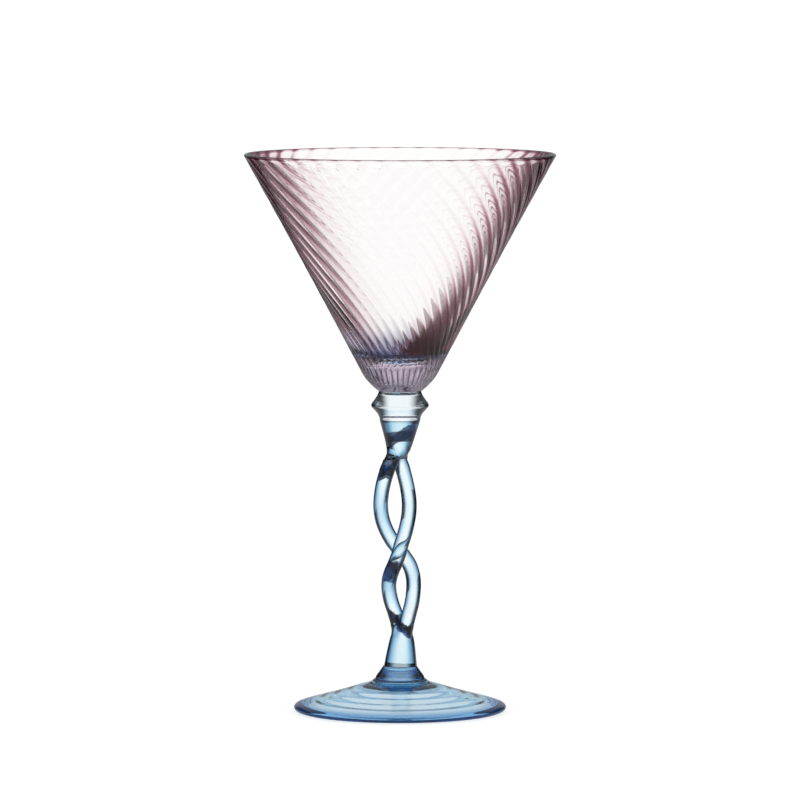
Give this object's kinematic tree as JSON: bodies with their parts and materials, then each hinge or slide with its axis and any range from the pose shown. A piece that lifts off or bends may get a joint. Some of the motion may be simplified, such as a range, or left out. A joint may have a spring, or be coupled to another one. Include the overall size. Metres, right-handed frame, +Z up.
{
  "type": "martini glass",
  "caption": "Martini glass: spiral-ribbed cone bowl in pink glass on a blue collar, a stem of twisted canes and a round trumpet foot.",
  "frame": {"origin": "centre of the foot's underside, on the table plane", "axes": "+Z up along the stem to the rim; the front cane of the middle crossing faces -Y"},
  "size_m": [0.117, 0.117, 0.21],
  "materials": {
    "pink_glass": "clear pink blown glass, spiral ribbed outside, fire polished at the rim",
    "blue_glass": "clear blue glass, polished"
  },
  "bodies": {
    "root": {"bowl": "pink_glass", "collar": "blue_glass", "crown": "blue_glass", "strand_a": "blue_glass", "strand_b": "blue_glass", "root": "blue_glass", "step": "blue_glass", "foot": "blue_glass"}
  },
  "joints": []
}
